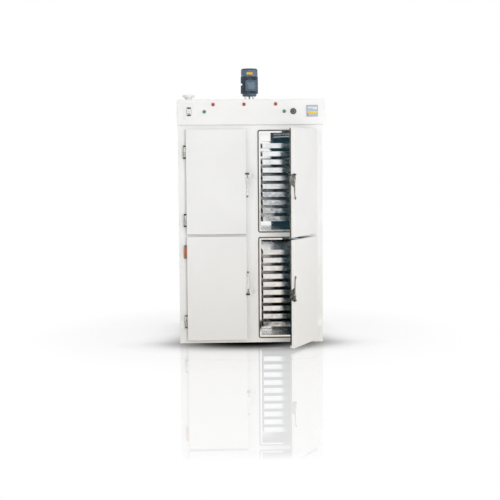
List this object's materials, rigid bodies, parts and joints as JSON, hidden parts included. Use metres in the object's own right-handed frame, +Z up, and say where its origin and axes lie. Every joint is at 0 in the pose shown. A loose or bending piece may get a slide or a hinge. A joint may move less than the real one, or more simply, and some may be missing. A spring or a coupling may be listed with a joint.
{
  "type": "laboratory oven",
  "caption": "Tall floor-standing drying oven with insulated wrap-latch doors over polished chambers of sliding trays, a control panel housing, and a fan motor and air outlet on the roof.",
  "frame": {"origin": "centre of the cabinet's base, on the floor", "axes": "+X to the right seen from the front, +Y towards the back, +Z up"},
  "size_m": [1.27, 1.5601, 2.401],
  "materials": {
    "white_paint": "satin",
    "polished_stainless": "polished",
    "tray_stainless": "polished",
    "rack_steel": "satin",
    "duct_steel": "satin",
    "heater_steel": "matte",
    "shaft_steel": "satin",
    "seal_rubber": "matte",
    "mineral_wool": "matte",
    "fan_plastic": "matte",
    "motor_paint": "satin",
    "cowl_paint": "satin",
    "vent_paint": "satin",
    "gland_plastic": "matte",
    "breaker_plate": "satin",
    "breaker_plastic": "satin",
    "toggle_plastic": "gloss",
    "bezel_plastic": "gloss",
    "red_lens": "gloss",
    "green_lens": "gloss",
    "knob_plastic": "satin",
    "controller_plastic": "satin",
    "controller_foil": "satin",
    "latch_chrome": "polished"
  },
  "bodies": {
    "cabinet": {"air_baffles": "rack_steel", "base_pan": "white_paint", "breaker_body": "breaker_plastic", "breaker_frame": "breaker_plate", "control_fascia": "white_paint", "controller_case": "controller_plastic", "controller_window": "controller_foil", "door_seals": "seal_rubber", "fan_cowl": "cowl_paint", "fan_housing": "duct_steel", "frame_hinges": "latch_chrome", "front_frame": "white_paint", "green_lenses": "green_lens", "heater_elements": "heater_steel", "insulation": "mineral_wool", "lamp_bezels": "bezel_plastic", "latch_keepers": "latch_chrome", "liner_lower_left": "polished_stainless", "liner_lower_right": "polished_stainless", "liner_upper_left": "polished_stainless", "liner_upper_right": "polished_stainless", "motor_end_shields": "motor_paint", "motor_frame": "motor_paint", "motor_stand": "white_paint", "rear_panel": "white_paint", "red_lenses": "red_lens", "roof_panel": "white_paint", "side_panel_left": "white_paint", "side_panel_right": "white_paint", "supply_gland": "gland_plastic", "terminal_box": "motor_paint", "tray_racks_left": "rack_steel", "tray_racks_right": "rack_steel", "vent_pipe": "vent_paint"},
    "single_tray_upper": {"single_tray_upper": "tray_stainless"},
    "single_tray_lower": {"single_tray_lower": "tray_stainless"},
    "trays_upper": {"trays_upper": "tray_stainless"},
    "trays_lower": {"trays_lower": "tray_stainless"},
    "rotor": {"motor_shaft": "shaft_steel", "cooling_fan": "fan_plastic", "impeller": "duct_steel"},
    "vent_cap": {"vent_cap": "vent_paint"},
    "breaker_toggle": {"breaker_toggle": "toggle_plastic"},
    "selector_knob": {"selector_knob": "knob_plastic"},
    "door_lower_left": {"door_shell_lower_left": "white_paint", "door_panel_lower_left": "polished_stainless", "door_fittings_lower_left": "latch_chrome"},
    "latch_lever_lower_left": {"latch_lever_lower_left": "latch_chrome"},
    "door_upper_left": {"door_shell_upper_left": "white_paint", "door_panel_upper_left": "polished_stainless", "door_fittings_upper_left": "latch_chrome"},
    "latch_lever_upper_left": {"latch_lever_upper_left": "latch_chrome"},
    "door_lower_right": {"door_shell_lower_right": "white_paint", "door_panel_lower_right": "polished_stainless", "door_fittings_lower_right": "latch_chrome"},
    "latch_lever_lower_right": {"latch_lever_lower_right": "latch_chrome"},
    "door_upper_right": {"door_shell_upper_right": "white_paint", "door_panel_upper_right": "polished_stainless", "door_fittings_upper_right": "latch_chrome"},
    "latch_lever_upper_right": {"latch_lever_upper_right": "latch_chrome"}
  },
  "joints": [
    {"name": "door_lower_left_hinge", "type": "hinge", "parent": "cabinet", "child": "door_lower_left", "pos_m": [-0.568, -0.534, 0.48], "axis": [0, 0, -1], "range_deg": [0, 110]},
    {"name": "latch_lower_left_pivot", "type": "hinge", "parent": "door_lower_left", "child": "latch_lever_lower_left", "pos_m": [-0.031, -0.554, 0.478], "axis": [1, 0, 0], "range_deg": [0, 35], "stiffness_Nm_per_rad": 1, "springref_deg": -22.92},
    {"name": "door_upper_left_hinge", "type": "hinge", "parent": "cabinet", "child": "door_upper_left", "pos_m": [-0.568, -0.534, 1.405], "axis": [0, 0, -1], "range_deg": [0, 110]},
    {"name": "latch_upper_left_pivot", "type": "hinge", "parent": "door_upper_left", "child": "latch_lever_upper_left", "pos_m": [-0.031, -0.554, 1.425], "axis": [-1, 0, 0], "range_deg": [0, 35], "stiffness_Nm_per_rad": 1, "springref_deg": -22.92},
    {"name": "door_lower_right_hinge", "type": "hinge", "parent": "cabinet", "child": "door_lower_right", "pos_m": [0.568, -0.534, 0.48], "axis": [0, 0, 1], "range_deg": [-63, 47]},
    {"name": "latch_lower_right_pivot", "type": "hinge", "parent": "door_lower_right", "child": "latch_lever_lower_right", "pos_m": [0.34203, -1.02155, 0.478], "axis": [0.454, 0.891, 0], "range_deg": [0, 35], "stiffness_Nm_per_rad": 1, "springref_deg": -22.92},
    {"name": "door_upper_right_hinge", "type": "hinge", "parent": "cabinet", "child": "door_upper_right", "pos_m": [0.568, -0.534, 1.405], "axis": [0, 0, 1], "range_deg": [-63, 47]},
    {"name": "latch_upper_right_pivot", "type": "hinge", "parent": "door_upper_right", "child": "latch_lever_upper_right", "pos_m": [0.34203, -1.02155, 1.425], "axis": [-0.454, -0.891, 0], "range_deg": [0, 35], "stiffness_Nm_per_rad": 1, "springref_deg": -22.92},
    {"name": "single_tray_lower_slide", "type": "slide", "parent": "cabinet", "child": "single_tray_lower", "axis": [0, -1, 0], "range_m": [0, 0.075]},
    {"name": "trays_lower_slide", "type": "slide", "parent": "cabinet", "child": "trays_lower", "axis": [0, -1, 0], "range_m": [0, 0.075]},
    {"name": "single_tray_upper_slide", "type": "slide", "parent": "cabinet", "child": "single_tray_upper", "axis": [0, -1, 0], "range_m": [0, 0.075]},
    {"name": "trays_upper_slide", "type": "slide", "parent": "cabinet", "child": "trays_upper", "axis": [0, -1, 0], "range_m": [0, 0.075]},
    {"name": "rotor_spin", "type": "hinge", "parent": "cabinet", "child": "rotor", "pos_m": [0.012, -0.06, 2.2], "axis": [0, 0, 1], "continuous": true},
    {"name": "vent_cap_slide", "type": "slide", "parent": "cabinet", "child": "vent_cap", "axis": [0, 0, 1], "range_m": [-0.01, 0.01]},
    {"name": "breaker_toggle_pivot", "type": "hinge", "parent": "cabinet", "child": "breaker_toggle", "pos_m": [-0.526, -0.558, 2.006], "axis": [1, 0, 0], "range_deg": [0, 50]},
    {"name": "selector_knob_turn", "type": "hinge", "parent": "cabinet", "child": "selector_knob", "pos_m": [0.368, -0.546, 2.006], "axis": [0, -1, 0], "range_deg": [-45, 225]}
  ]
}
